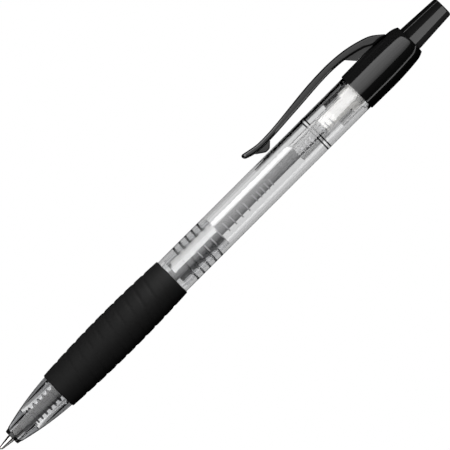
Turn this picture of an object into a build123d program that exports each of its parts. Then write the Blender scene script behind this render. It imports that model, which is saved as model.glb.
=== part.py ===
# A retractable gel pen, lying on its grip: axis along +X, tip at -X, clip to +Y.
# Millimetres. The origin is under the middle of the bounding box, on the surface
# the pen lies on. A station is a distance along the pen from the writing point,
# an x_ value is a station, and an r_ value is a radius about the pen's own axis.

import os
from math import cos, hypot, pi, radians, sin, sqrt

from build123d import *

os.makedirs("parts", exist_ok=True)

# ---------------------------------------------------------------- driving sizes

# clearances
slip = 0.05  # radial, between pieces that slide or turn
seat = 0.02  # between pieces that are fixed together
cam_gap = 0.30  # between the ramps of the cam, which never carry the tip's load

# refill
r_ball = 0.35
ball_shows = 0.30
tip_lip = 0.07  # metal round the ball at the tip's mouth
r_tip_neck = 0.88
tip_cone = 2.90
r_tip_shank = 1.12
tip_shank_shows = 2.48  # from the back of the bushing to the tip holder
tip_spigot = 2.40
r_tip_spigot = 0.90
r_tip_bore = 0.45
r_ink_way = 0.20
r_ink_tube = 1.40
tube_wall = 0.40
tube_spigot = 3.50
tube_empty = 5.40  # behind the grease, at the tube's open end
grease_length = 5.0
tip_holder_length = 14.0
tip_holder_step = 0.04  # how much wider than the ink tube it is
tip_holder_bore = 0.55

# return spring and the collar that it pushes on
spring_wire = 0.42
spring_slack = 0.34  # radial, between the coils and the tip holder inside them
spring_pitch = 1.38
spring_length = 24.30  # between its two seats, with the tip out
collar_rim = 0.20  # how far the collar stands out beyond the coils
spring_collar_length = 1.20

# clear rear barrel
rear_length = 60.40
r_barrel = 4.70
barrel_wall = 0.76
ring_from_end = 13.45  # middle of the ring groove, from the barrel's rear end
ring_width = 1.25
ring_floor = 0.55
ring_depth = 0.30
flare_length = 1.40
flare_lip = 0.24  # wall left at the very end of the flare

# clear smoke front section
tip_stands_out = 3.73  # from the writing point back to the front of the nose
bushing_length = 0.88
bushing_wall = 0.78
nose_length = 15.31
nose_curve = 77.8  # radius of the nose's long outward curve
nose_shoulder = 0.42  # how far the nose stands proud of the grip's core
nose_guide = 0.09  # radial, round the tip holder
seat_depth = 5.84  # from the back of the bushing to the spring's seat
spring_room = 0.44  # radial, round the coils at their seat
seat_groove_width = 0.63
seat_groove_depth = 0.30
core_step = 0.60  # the grip's core is this much slimmer than the barrel, on the radius
spigot_length = 13.9
spigot_wall = 0.70
neck_length = 1.10
neck_depth = 0.40

# thread between the front section and the rear barrel
thread_turns = 5
thread_pitch = 1.945
thread_depth = 0.20
thread_from_neck = 2.40

# rubber grip
grip_length = 37.26
grip_front_wall = 0.76
grip_back_wall = 0.90
grip_curve = 298.0  # radius of the grip's long outward curve
groove_pitch = 3.17
groove_depth = 0.15
groove_width = 0.90
groove_margin = 3.30  # from the grip's front edge to its first groove

# rear cap
cap_length = 17.40
cap_front_lip = 0.34  # how far its front edge stands out from the barrel
cap_swell = 0.42  # how far its fullest part stands out from the barrel
cap_front_run = 7.0  # from the front edge to the fullest part
cap_crown = 2.10
cap_crown_drop = 0.44
cap_end_drop = 1.17
cap_edge = 0.25  # round of the front edge
cap_end_wall = 1.10
collar_length = 4.00

# cam sleeve, with the ribs that the rotor's fins rest on
sleeve_out = 7.60  # how far the sleeve reaches out of the cap, into the barrel
sleeve_step = 0.47  # radial, from the barrel's bore in to the sleeve
sleeve_wall = 0.52
sleeve_flange = 1.00
rib_count = 4
rib_depth = 0.45
rib_width = 0.80
rib_start = 6.50  # from the sleeve's front end

# click action
click_travel = 5.50  # how far the point draws in
press_through = 1.20  # how far past the latch the button can be pressed
fin_length = 2.00
key_length = 2.50
crown_teeth = 8
crown_height = 0.55
crown_gap = 0.10
crown_ring = 0.80  # radial width of the two rings of teeth
rotor_gap = 0.22  # radial, between the rotor's body and the ribs
stem_step = 0.50
stem_length = 7.40

# push button
button_stands_out = 10.90  # with the tip out
button_wall = 0.86
button_taper = 0.56  # how much the radius falls from its root to its end
button_edge = 0.45
button_end_wall = 1.40
button_flange = 0.80
plunger_grip = 10.0  # how far the plunger goes into the button

# refill holder
holder_out = 19.70  # from the front of the holder back to the cap's front edge
holder_length = 15.90
holder_grip = 8.0  # how far the ink tube goes into the holder
holder_floor = 0.6
r_holder_vent = 0.60

# pocket clip: x is from its heel, heights are above the cap's fullest part
heel_from_end = 3.10  # from the cap's rear end
heel_height = -0.32
clip_length = 43.70
clip_width_root = 5.60
clip_width_tip = 4.40
clip_tip_round = 1.20
clip_tip_heights = (2.34, 3.59)
clip_back = [
    (-39.6, 2.81),
    (-37.4, 2.70),
    (-33.3, 2.90),
    (-22.1, 4.05),
    (-16.6, 4.32),
    (-12.9, 4.24),
    (-9.2, 3.82),
    (-5.5, 2.94),
    (-2.7, 1.84),
]
clip_belly = [
    (-41.0, 1.48),
    (-36.9, 1.23),
    (-26.8, 1.80),
    (-16.8, 2.44),
    (-11.0, 2.15),
    (-5.9, 0.97),
]
clip_root = (-3.7, -0.07)
clip_gap = 0.06  # over the cap, so that the clip can flex
web_width = 2.00
web_front = -10.90
web_foot = -9.05
web_back = -4.70
web_sink = 0.30  # how far the web's top reaches up into the arm
ball_from_heel = 38.80
r_clip_ball = 2.20
clip_ball_gap = 0.35  # between the ball and the barrel
tab_length = 2.40
tab_width = 2.00
tab_depth = 0.80
tab_gap = 0.15

# ---------------------------------------------------------------- worked out

r_barrel_bore = r_barrel - barrel_wall
r_spigot = r_barrel_bore - 2 * seat
r_front_bore = r_spigot - spigot_wall
r_grip_core = r_barrel - core_step
r_nose_back = r_grip_core + nose_shoulder
r_grip_front = r_grip_core + grip_front_wall
r_grip_back = r_grip_core + grip_back_wall
flare_rise = barrel_wall - flare_lip
r_collar = r_barrel_bore + flare_rise - seat

r_tube_bore = r_ink_tube - tube_wall
r_tip_holder = r_ink_tube + tip_holder_step
r_mouth = r_tip_shank + slip
r_nose_front = r_mouth + bushing_wall
r_nose_bore = r_tip_holder + nose_guide
r_spring = r_tip_holder + spring_slack + spring_wire
r_spring_collar = r_spring + collar_rim
r_cavity_front = r_spring + spring_room

r_cap_front = r_barrel + cap_front_lip
r_cap = r_barrel + cap_swell
r_sleeve = r_barrel_bore - sleeve_step
r_sleeve_bore = r_sleeve - sleeve_wall
r_ribs = r_sleeve_bore - rib_depth
r_fins = r_sleeve_bore - slip
r_rotor = r_ribs - rotor_gap
r_stem = r_rotor - stem_step
r_fin_root = r_rotor - rib_depth
r_holder = r_ribs - slip
r_button_root = r_rotor + seat + button_wall
r_button_end = r_button_root - button_taper

x_nose = tip_stands_out
x_bushing_back = x_nose + bushing_length
x_spring_seat = x_bushing_back + seat_depth
x_grip = x_nose + nose_length
x_joint = x_grip + grip_length
x_spigot = x_joint + neck_length
x_thread = x_spigot + thread_from_neck
x_front_end = x_spigot + spigot_length
x_cap = x_joint + rear_length
x_ring = x_cap - ring_from_end
x_collar = x_cap - flare_length
x_collar_back = x_collar + collar_length
x_cap_end = x_cap + cap_length
x_cap_inside = x_cap_end - cap_end_wall
x_button_end = x_cap_end + button_stands_out

indexing = pi / rib_count  # angle that the rotor turns in one click
ramp = click_travel / (r_ribs * indexing)  # slope of the ribs' and fins' ends
x_sleeve = x_cap - sleeve_out
x_ribs = x_sleeve + rib_start
x_fin = x_ribs - cam_gap
x_button = x_cap_inside - click_travel - button_flange - 2 * slip
x_sleeve_back = x_button - press_through - 4 * slip

x_holder = x_cap - holder_out
x_holder_back = x_holder + holder_length
x_rotor = x_holder_back + cam_gap
x_rotor_back = x_fin + ramp * rib_width + slip
x_stem = x_rotor - stem_length
x_plunger = x_rotor_back + 2 * crown_height + crown_gap
x_plunger_back = x_button + plunger_grip

x_tip_holder = x_bushing_back + tip_shank_shows
x_tube = x_tip_holder + tip_holder_length
x_tube_back = x_holder + holder_grip
x_ink = x_tube + tube_spigot + seat
x_grease_back = x_tube_back - tube_empty
x_grease = x_grease_back - grease_length
x_spring_collar = x_spring_seat + spring_length

x_heel = x_cap_end - heel_from_end
x_tab = x_heel - tab_length


def arc_middle(start, end, curve):
    """Centre of a shallow outward arc between two (station, radius) points."""
    run = end[0] - start[0]
    rise = end[1] - start[1]
    chord = hypot(run, rise)
    height = sqrt(curve**2 - (chord / 2) ** 2)
    middle_x = (start[0] + end[0]) / 2 + height * rise / chord
    middle_r = (start[1] + end[1]) / 2 - height * run / chord
    return middle_x, middle_r


def on_curve(station, start, end, curve):
    """Radius at a station on a shallow outward arc between two (station, radius) points."""
    middle_x, middle_r = arc_middle(start, end, curve)
    return middle_r + sqrt(curve**2 - (station - middle_x) ** 2)


def nose_radius(station):
    """Outside radius of the nose."""
    front = (x_nose, r_nose_front)
    back = (x_grip, r_nose_back)
    return on_curve(station, front, back, nose_curve)


def grip_radius(station):
    """Outside radius of the rubber grip, between its grooves."""
    front = (x_grip, r_grip_front)
    back = (x_joint, r_grip_back)
    return on_curve(station, front, back, grip_curve)


# The grip's fullest part lies on the surface, and the clip reaches furthest to the side.
x_fullest, _ = arc_middle((x_grip, r_grip_front), (x_joint, r_grip_back), grip_curve)
r_grip = grip_radius(min(max(x_fullest, x_grip), x_joint))
clip_height = r_cap + max(height for _, height in clip_back)
axis_height = r_grip
axis_side = -(clip_height - r_grip) / 2

pen = Plane(
    origin=(-x_button_end / 2, axis_side, axis_height),
    x_dir=(1, 0, 0),
    z_dir=(0, 0, 1),
)
pen_axis = Axis(pen.origin, (1, 0, 0))


def outward(angle, radius):
    """A plane facing out from the pen's axis: x along the pen, y against the angle."""
    normal = Vector(0, cos(radians(angle)), sin(radians(angle)))
    return Plane(origin=pen.origin + normal * radius, x_dir=(1, 0, 0), z_dir=normal)


def outline(*points):
    """A closed outline of (station, radius) points in the pen's own plane."""
    with BuildSketch(pen) as drawn:
        with BuildLine():
            Polyline(*points, close=True)
        make_face()
    return drawn.sketch


def ring(front, back, r_inside, r_outside):
    """The outline of a plain ring or tube, or of a rod where r_inside is 0."""
    return outline((front, r_inside), (back, r_inside), (back, r_outside), (front, r_outside))


def vanes(count, first_angle, r_inside, r_outside, points):
    """Radial vanes: one outline of (station, sideways) points, repeated round the pen."""
    faces = []
    for number in range(count):
        angle = first_angle + 360 / count * number
        with BuildSketch(outward(angle, r_inside)) as drawn:
            with BuildLine():
                Polyline(*points, close=True)
            make_face()
        faces.append(drawn.sketch)
    return faces


def coiled(station, length, pitch, radius, left=False):
    """A helix along the pen, starting at a station, right-handed unless left is set."""
    start = pen.origin + Vector(station, 0, 0)
    return Helix(
        pitch=pitch, height=length, radius=radius, center=start, direction=(1, 0, 0), lefthand=left
    )


def thread_solid(grow):
    """The thread's helical ridge, grown on every side for the groove it sits in."""
    with BuildPart() as cut:
        with BuildLine() as path:
            coiled(x_thread, thread_turns * thread_pitch, thread_pitch, r_spigot, left=True)
        with BuildSketch(path.line ^ 0):
            RegularPolygon(radius=thread_depth + grow, side_count=4, rotation=45)
        sweep(path=path.line, is_frenet=True)
    return cut.part


# ---------------------------------------------------------------- front section

with BuildPart() as front_barrel:
    with BuildSketch(pen):
        with BuildLine():
            middle = (x_bushing_back + x_grip) / 2
            nose = ThreePointArc(
                (x_bushing_back, nose_radius(x_bushing_back)),
                (middle, nose_radius(middle)),
                (x_grip, r_nose_back),
            )
            Polyline(
                nose @ 1,
                (x_grip, r_grip_core),
                (x_joint, r_grip_core),
                (x_joint, r_spigot - neck_depth),
                (x_spigot, r_spigot - neck_depth),
                (x_spigot, r_spigot),
                (x_front_end, r_spigot),
                (x_front_end, r_front_bore),
                (x_grip, r_front_bore),
                (x_spring_seat, r_cavity_front),
                (x_spring_seat - seat_groove_width, r_cavity_front),
                (x_spring_seat - seat_groove_width, r_cavity_front - seat_groove_depth),
                (x_spring_seat, r_cavity_front - seat_groove_depth),
                (x_spring_seat, r_nose_bore),
                (x_bushing_back, r_nose_bore),
                nose @ 0,
            )
        make_face()
    revolve(axis=pen_axis)
    add(thread_solid(0))

with BuildPart() as nose_bushing:
    revolve(
        outline(
            (x_nose, r_mouth),
            (x_nose, nose_radius(x_nose)),
            (x_bushing_back, nose_radius(x_bushing_back)),
            (x_bushing_back, r_mouth),
        ),
        axis=pen_axis,
    )

with BuildPart() as rubber_grip:
    with BuildSketch(pen):
        with BuildLine():
            middle = (x_grip + x_joint) / 2
            swell = ThreePointArc(
                (x_grip, r_grip_front),
                (middle, grip_radius(middle)),
                (x_joint, r_grip_back),
            )
            Polyline(
                swell @ 1,
                (x_joint, r_grip_core + seat),
                (x_grip, r_grip_core + seat),
                swell @ 0,
            )
        make_face()
    revolve(axis=pen_axis)
    groove_count = int((grip_length - 2 * groove_margin) / groove_pitch) + 1
    for number in range(groove_count):
        x_groove = x_grip + groove_margin + number * groove_pitch
        r_groove = grip_radius(x_groove)
        revolve(
            outline(
                (x_groove - groove_width / 2, r_groove + groove_depth),
                (x_groove, r_groove - groove_depth),
                (x_groove + groove_width / 2, r_groove + groove_depth),
            ),
            axis=pen_axis,
            mode=Mode.SUBTRACT,
        )

# ---------------------------------------------------------------- rear barrel

with BuildPart() as rear_barrel:
    revolve(
        outline(
            (x_joint, r_barrel_bore),
            (x_ring - ring_width / 2, r_barrel_bore),
            (x_ring - ring_floor / 2, r_barrel_bore + ring_depth),
            (x_ring + ring_floor / 2, r_barrel_bore + ring_depth),
            (x_ring + ring_width / 2, r_barrel_bore),
            (x_collar, r_barrel_bore),
            (x_cap, r_barrel_bore + flare_rise),
            (x_cap, r_barrel),
            (x_joint, r_barrel),
        ),
        axis=pen_axis,
    )
    add(thread_solid(slip), mode=Mode.SUBTRACT)

with BuildPart() as cap_collar:
    revolve(
        outline(
            (x_collar, r_sleeve + seat),
            (x_collar, r_barrel_bore - seat),
            (x_cap, r_collar),
            (x_collar_back, r_collar),
            (x_collar_back, r_sleeve + seat),
        ),
        axis=pen_axis,
    )

# ---------------------------------------------------------------- cap and cam


def cap_outline(grow):
    """Outside of the cap down to the axis, grown outwards for what clears it."""
    x_full = x_cap + cap_front_run
    x_crown = x_cap_end - cap_crown
    x_back = x_cap_end + grow
    with BuildSketch(pen) as drawn:
        with BuildLine():
            front = Line((x_cap, r_cap_front + grow), (x_full, r_cap + grow))
            crown_start = (x_crown, r_cap - cap_crown_drop + grow)
            taper = TangentArc(front @ 1, crown_start, tangent=(1, 0))
            crown_end = (x_back, r_cap - cap_end_drop + grow)
            crown = TangentArc(taper @ 1, crown_end, tangent=taper % 1)
            Polyline(crown @ 1, (x_back, 0), (x_cap, 0), front @ 0)
        make_face()
    return drawn.sketch


with BuildPart() as rear_cap:
    revolve(cap_outline(0), axis=pen_axis)
    front_edge = edges().filter_by(GeomType.CIRCLE).group_by(Axis.X)[0]
    fillet(front_edge.sort_by(SortBy.RADIUS)[-1], cap_edge)
    revolve(ring(x_cap, x_collar_back + seat, 0, r_collar + seat), axis=pen_axis, mode=Mode.SUBTRACT)
    revolve(ring(x_cap, x_cap_inside, 0, r_barrel_bore), axis=pen_axis, mode=Mode.SUBTRACT)
    revolve(ring(x_cap, x_cap_end, 0, r_button_root + slip), axis=pen_axis, mode=Mode.SUBTRACT)
    with BuildSketch(outward(0, 0)):
        with Locations(((x_tab + x_heel) / 2, 0)):
            Rectangle(tab_length + 2 * tab_gap, tab_width + 2 * tab_gap)
    extrude(amount=r_cap, mode=Mode.SUBTRACT)

with BuildPart() as cam_sleeve:
    revolve(ring(x_sleeve, x_sleeve_back, r_sleeve_bore, r_sleeve), axis=pen_axis)
    x_flange = x_collar_back + seat
    r_flange = r_barrel_bore - seat
    revolve(ring(x_flange, x_flange + sleeve_flange, r_sleeve_bore, r_flange), axis=pen_axis)
    rib = [
        (x_ribs, rib_width / 2),
        (x_ribs + ramp * rib_width, -rib_width / 2),
        (x_sleeve_back, -rib_width / 2),
        (x_sleeve_back, rib_width / 2),
    ]
    for face in vanes(rib_count, 0, r_ribs, r_sleeve_bore, rib):
        extrude(face, amount=rib_depth + sleeve_wall / 2)

with BuildPart() as cam_rotor:
    revolve(ring(x_rotor, x_rotor_back, 0, r_rotor), axis=pen_axis)
    revolve(ring(x_stem, x_rotor, 0, r_stem), axis=pen_axis)
    fin = [
        (x_fin - fin_length, rib_width / 2),
        (x_fin, rib_width / 2),
        (x_fin + ramp * rib_width, -rib_width / 2),
        (x_fin - fin_length, -rib_width / 2),
    ]
    for face in vanes(rib_count, 0, r_fin_root, r_fins, fin):
        extrude(face, amount=r_fins - r_fin_root)
    tooth_half = pi * (r_rotor - crown_ring) / crown_teeth
    tooth = [
        (x_rotor_back - seat, tooth_half),
        (x_rotor_back + crown_height, 0),
        (x_rotor_back - seat, -tooth_half),
    ]
    for face in vanes(crown_teeth, 0, r_rotor - crown_ring, r_rotor, tooth):
        extrude(face, amount=crown_ring * 0.9)

with BuildPart() as cam_plunger:
    revolve(ring(x_plunger, x_plunger_back, 0, r_rotor), axis=pen_axis)
    tooth = [
        (x_plunger + seat, tooth_half),
        (x_plunger - crown_height, 0),
        (x_plunger + seat, -tooth_half),
    ]
    for face in vanes(crown_teeth, 0, r_rotor - crown_ring, r_rotor, tooth):
        extrude(face, amount=crown_ring * 0.9)
    key = [
        (x_plunger, rib_width / 2),
        (x_plunger + key_length, rib_width / 2),
        (x_plunger + key_length, -rib_width / 2),
        (x_plunger, -rib_width / 2),
    ]
    for face in vanes(rib_count, 180 / rib_count, r_fin_root, r_fins, key):
        extrude(face, amount=r_fins - r_fin_root)
    r_plunger_bore = r_rotor - button_wall
    revolve(
        ring(x_plunger + key_length, x_plunger_back, 0, r_plunger_bore),
        axis=pen_axis,
        mode=Mode.SUBTRACT,
    )

with BuildPart() as push_button:
    x_root = x_cap_end + button_edge
    r_flange = r_barrel_bore - 2 * slip
    r_socket = r_rotor + seat
    r_hollow = r_button_end - button_wall
    revolve(
        outline(
            (x_button, r_socket),
            (x_button, r_flange),
            (x_button + button_flange, r_flange),
            (x_button + button_flange, r_button_root),
            (x_root, r_button_root),
            (x_button_end, r_button_end),
            (x_button_end, 0),
            (x_button_end - button_end_wall, 0),
            (x_button_end - button_end_wall, r_hollow),
            (x_plunger_back + seat, r_hollow),
            (x_plunger_back + seat, r_socket),
        ),
        axis=pen_axis,
    )
    end_edge = edges().filter_by(GeomType.CIRCLE).group_by(Axis.X)[-1]
    fillet(end_edge, button_edge)

# ---------------------------------------------------------------- refill

with BuildPart() as tip_ball:
    with Locations(pen.origin + Vector(r_ball, 0, 0)):
        Sphere(r_ball)

with BuildPart() as writing_tip:
    r_socket = r_ball + seat
    r_lip = r_ball + tip_lip + seat
    x_socket_back = 2 * r_ball + seat
    revolve(
        outline(
            (ball_shows, r_socket),
            (ball_shows, r_lip),
            (ball_shows + tip_cone, r_tip_neck),
            (x_bushing_back, r_tip_neck),
            (x_bushing_back, r_tip_shank),
            (x_tip_holder, r_tip_shank),
            (x_tip_holder, r_tip_spigot),
            (x_tip_holder + tip_spigot, r_tip_spigot),
            (x_tip_holder + tip_spigot, r_tip_bore),
            (x_socket_back + tip_cone / 2, r_tip_bore),
            (x_socket_back + tip_cone / 4, r_ink_way),
            (x_socket_back, r_ink_way),
            (x_socket_back, r_socket),
        ),
        axis=pen_axis,
    )

with BuildPart() as tip_holder:
    x_tip_back = x_tip_holder + tip_spigot + seat
    revolve(
        outline(
            (x_tip_holder + seat, r_tip_spigot + seat),
            (x_tip_holder + seat, r_tip_holder),
            (x_tube - seat, r_tip_holder),
            (x_tube - seat, r_tube_bore - seat),
            (x_tube + tube_spigot, r_tube_bore - seat),
            (x_tube + tube_spigot, tip_holder_bore),
            (x_tip_back, tip_holder_bore),
            (x_tip_back, r_tip_spigot + seat),
        ),
        axis=pen_axis,
    )

with BuildPart() as ink_tube:
    revolve(ring(x_tube, x_tube_back, r_tube_bore, r_ink_tube), axis=pen_axis)

with BuildPart() as ink_column:
    revolve(ring(x_ink, x_grease - seat, 0, r_tube_bore - seat), axis=pen_axis)

with BuildPart() as grease_plug:
    revolve(ring(x_grease, x_grease_back, 0, r_tube_bore - seat), axis=pen_axis)

with BuildPart() as spring_collar:
    x_back = x_spring_collar + spring_collar_length
    revolve(ring(x_spring_collar, x_back, r_ink_tube + seat, r_spring_collar), axis=pen_axis)

with BuildPart() as return_spring:
    r_coil = r_spring - spring_wire / 2
    coil_length = spring_length - spring_wire - 4 * seat
    with BuildLine() as coil:
        coiled(x_spring_seat + spring_wire / 2 + 2 * seat, coil_length, spring_pitch, r_coil)
    with BuildSketch(coil.line ^ 0):
        Circle(spring_wire / 2)
    sweep(path=coil.line, is_frenet=True)

with BuildPart() as refill_holder:
    x_floor = x_tube_back + seat
    revolve(
        outline(
            (x_holder, r_ink_tube + seat),
            (x_holder, r_holder),
            (x_holder_back, r_holder),
            (x_holder_back, r_stem + slip),
            (x_floor + holder_floor, r_stem + slip),
            (x_floor + holder_floor, r_holder_vent),
            (x_floor, r_holder_vent),
            (x_floor, r_ink_tube + seat),
        ),
        axis=pen_axis,
    )

# ---------------------------------------------------------------- pocket clip


def on_clip(points):
    """Clip points, given from its heel and above the cap, as (station, radius)."""
    return [(x_heel + x, r_cap + height) for x, height in points]


flat = Plane(origin=pen.origin, x_dir=(1, 0, 0), z_dir=(0, -1, 0))  # seen from the clip side
x_clip_tip = x_heel - clip_length

with BuildPart() as pocket_clip:
    # the ball, as a dome under the arm
    r_ball_middle = r_barrel + clip_ball_gap + r_clip_ball
    with Locations(pen.origin + Vector(x_heel - ball_from_heel, r_ball_middle, 0)):
        Sphere(r_clip_ball)
    _, r_dome_top = on_clip(clip_belly)[0]
    dome_top = pen.origin + Vector(0, r_dome_top, 0)
    split(bisect_by=Plane(origin=dome_top, z_dir=(0, 1, 0)), keep=Keep.BOTTOM)
    # the arm, drawn from the side
    with BuildSketch(pen):
        with BuildLine():
            tip = [(x_clip_tip, r_cap + height) for height in clip_tip_heights]
            (root,) = on_clip([clip_root])
            heel = (x_heel, r_cap + heel_height)
            Spline(tip[1], *on_clip(clip_back), heel)
            Spline(tip[0], *on_clip(clip_belly), root)
            Line(tip[0], tip[1])
            Polyline(root, (root[0], r_barrel_bore), (x_heel, r_barrel_bore), heel)
        make_face()
    extrude(amount=clip_width_root / 2, both=True)
    # the web under the arm, in front of its root
    _, web_top, web_rear = on_clip(clip_belly)[-3:]
    with BuildSketch(pen):
        with BuildLine():
            Polyline(
                (x_heel + web_front, web_top[1] + seat),
                (x_heel + web_foot, r_barrel_bore),
                (x_tab, r_barrel_bore),
                (x_heel + web_back, web_rear[1]),
                (x_heel + web_foot, web_top[1] + web_sink),
                close=True,
            )
        make_face()
    extrude(amount=web_width / 2, both=True)
    # narrower towards the tip, with round corners there
    with BuildSketch(flat):
        with BuildLine():
            Polyline(
                (x_clip_tip, -clip_width_tip / 2),
                (x_heel, -clip_width_root / 2),
                (x_heel, clip_width_root / 2),
                (x_clip_tip, clip_width_tip / 2),
                close=True,
            )
        make_face()
        fillet(vertices().group_by(Axis.X)[0], clip_tip_round)
    extrude(amount=-2 * clip_height, mode=Mode.INTERSECT)
    # clear of the cap, with a tab that goes down into the cap's slot
    revolve(cap_outline(clip_gap), axis=pen_axis, mode=Mode.SUBTRACT)
    with BuildSketch(outward(0, r_cap - tab_depth)):
        with Locations(((x_tab + x_heel) / 2, 0)):
            Rectangle(tab_length, tab_width)
    extrude(amount=tab_depth)

# ---------------------------------------------------------------- write the parts

pieces = {
    "front_barrel": front_barrel,
    "nose_bushing": nose_bushing,
    "rubber_grip": rubber_grip,
    "rear_barrel": rear_barrel,
    "cap_collar": cap_collar,
    "rear_cap": rear_cap,
    "cam_sleeve": cam_sleeve,
    "cam_rotor": cam_rotor,
    "cam_plunger": cam_plunger,
    "push_button": push_button,
    "tip_ball": tip_ball,
    "writing_tip": writing_tip,
    "tip_holder": tip_holder,
    "ink_tube": ink_tube,
    "ink_column": ink_column,
    "grease_plug": grease_plug,
    "spring_collar": spring_collar,
    "return_spring": return_spring,
    "refill_holder": refill_holder,
    "pocket_clip": pocket_clip,
}
for name, piece in pieces.items():
    piece.part.label = name
    export_step(piece.part, f"parts/{name}.step")
print("overall length", round(x_button_end, 3), "grip radius", round(r_grip, 3))
print("axis height", round(axis_height, 3), "axis side", round(axis_side, 3))
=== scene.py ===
# %% [markdown]
# A retractable gel pen lies on a pale table. Its barrel is clear, so the refill, the
# spring and the click parts all show, and each of them needs its own mesh and finish.
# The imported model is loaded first, as a frame that never moves, and every piece below
# takes its place from that frame. Blender works in metres, but a pen is drawn in
# millimetres, so lengths are written in millimetres and changed over in one helper.

# %% load the frame
from math import asin, cos, pi, radians, sin, sqrt, tan

import bmesh
import bpy
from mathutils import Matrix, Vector


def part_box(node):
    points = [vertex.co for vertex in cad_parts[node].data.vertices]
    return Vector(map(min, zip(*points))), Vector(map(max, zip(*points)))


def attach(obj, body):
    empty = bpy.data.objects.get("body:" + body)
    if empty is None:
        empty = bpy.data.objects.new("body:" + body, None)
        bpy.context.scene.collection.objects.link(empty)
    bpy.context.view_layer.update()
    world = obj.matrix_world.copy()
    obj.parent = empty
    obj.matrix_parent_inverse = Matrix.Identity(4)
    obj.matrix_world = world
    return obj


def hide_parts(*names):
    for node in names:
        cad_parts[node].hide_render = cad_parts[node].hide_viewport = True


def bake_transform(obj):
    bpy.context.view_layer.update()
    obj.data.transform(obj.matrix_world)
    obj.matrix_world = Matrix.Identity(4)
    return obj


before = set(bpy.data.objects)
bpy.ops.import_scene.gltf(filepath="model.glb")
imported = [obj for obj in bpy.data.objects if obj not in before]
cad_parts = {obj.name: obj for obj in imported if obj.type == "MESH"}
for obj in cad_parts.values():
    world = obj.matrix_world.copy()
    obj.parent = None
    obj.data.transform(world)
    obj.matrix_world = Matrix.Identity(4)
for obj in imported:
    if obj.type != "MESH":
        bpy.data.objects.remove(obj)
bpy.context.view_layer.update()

MM = 0.001
print("nodes:", len(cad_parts))
cad_meshes = len(bpy.data.meshes)

# %% [markdown]
# Nearly every piece of a pen is turned about one axis. A place on it is then a
# station, which is the distance from the writing point, a radius, and an angle round
# the axis: 0 degrees points to the clip and 90 degrees points up. The axis and the
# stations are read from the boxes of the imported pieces.

# %% the pen's axis and its stations
barrel_low, barrel_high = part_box("rear_barrel")
axis_side = (barrel_low.y + barrel_high.y) / 2
axis_height = (barrel_low.z + barrel_high.z) / 2
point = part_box("tip_ball")[0].x


def stations(node):
    """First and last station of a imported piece, in millimetres."""
    low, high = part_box(node)
    return (low.x - point) / MM, (high.x - point) / MM


def outside(node):
    """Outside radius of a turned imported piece, in millimetres."""
    low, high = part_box(node)
    return (high.z - low.z) / 2 / MM


def place(station, radius, angle=0.0):
    """A point in the frame from its station, radius and angle, given in mm and degrees."""
    side = axis_side + radius * MM * cos(radians(angle))
    height = axis_height + radius * MM * sin(radians(angle))
    return Vector((point + station * MM, side, height))


x_joint, x_cap = stations("rear_barrel")
x_grip = stations("rubber_grip")[0]
x_nose, x_bushing_back = stations("nose_bushing")
x_front_end = stations("front_barrel")[1]
x_cap_end = stations("rear_cap")[1]
x_button_end = stations("push_button")[1]
r_barrel = outside("rear_barrel")
print(f"barrel {x_joint:.2f} to {x_cap:.2f} mm, radius {r_barrel:.2f} mm")
print(f"overall length {x_button_end:.2f} mm")

# %% [markdown]
# The view is from straight above, with the pen running from the lower left to the
# upper right. A long lens far away keeps the two ends of the pen the same size, as a
# product picture does. The camera looks down, so turning it about its own line of
# sight is what sets the pen's slant.

# %% camera
VIEW_WIDTH = 104.2
LENS = 600.0
SENSOR = 36.0
SLANT = 45.0
AIM_AHEAD = 0.97
AIM_ASIDE = 0.13
aim = place(x_button_end / 2 + AIM_AHEAD, 0.0) - Vector((0, AIM_ASIDE * MM, 0))
camera_data = bpy.data.cameras.new("long_lens")
camera_data.lens = LENS
camera_data.sensor_width = SENSOR
camera_data.clip_end = 20.0
camera = bpy.data.objects.new("camera", camera_data)
camera.location = aim + Vector((0, 0, VIEW_WIDTH * MM * LENS / SENSOR))
camera.rotation_euler = (0, 0, radians(-SLANT))
bpy.context.scene.collection.objects.link(camera)
bpy.context.scene.camera = camera
print(f"camera {camera.location.z:.3f} m above the table")

# %% [markdown]
# The table is a pale lit panel, so that clear plastic has something bright behind it.
# It is left out of reflections: a glossy black cap would otherwise mirror it all along
# its sides and turn grey.


# %% table
def glow(name, strength):
    """A material that gives plain white light and returns none."""
    made = bpy.data.materials.new(name)
    made.use_nodes = True
    shader = made.node_tree.nodes["Principled BSDF"]
    shader.inputs["Base Color"].default_value = (0, 0, 0, 1)
    shader.inputs["Specular IOR Level"].default_value = 0.0
    shader.inputs["Emission Color"].default_value = (1, 1, 1, 1)
    shader.inputs["Emission Strength"].default_value = strength
    return made


def panel(name, outline, height, strength):
    """A flat panel of the set, from (x, y) corners in metres. Reflections leave it out."""
    mesh = bpy.data.meshes.new(name)
    mesh.from_pydata([(x, y, height) for x, y in outline], [], [tuple(range(len(outline)))])
    mesh.materials.append(glow(name + "_light", strength))
    made = bpy.data.objects.new(name, mesh)
    made.visible_glossy = False
    made.visible_diffuse = False
    bpy.context.scene.collection.objects.link(made)
    return made


TABLE_HALF = 3.0
TABLE_LIGHT = 1.0
corners = [(-1, -1), (1, -1), (1, 1), (-1, 1)]
panel("table", [(x * TABLE_HALF, y * TABLE_HALF) for x, y in corners], 0.0, TABLE_LIGHT)
print("table is", 2 * TABLE_HALF, "m wide")

# %% [markdown]
# The look of clear plastic comes from what it bends into view, so a studio sets cards
# round it. Pale cards lie under and beside the barrel, and darker ones under the
# smoke-tinted pieces. Thin black ones beside the refill, on the side away from the clip
# and the key light, are painted shade: seen through the clear pieces they darken that side
# of the holder and the sleeve and draw a dark line along the tube's edge. A black card
# under the clip stands for the clip's own shadow, a painted shadow. Each lies a little
# higher than what it covers, and only light that went through clear plastic sees them.


# %% helpers for the cards
FIRST_LAYER = 0.02


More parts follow.
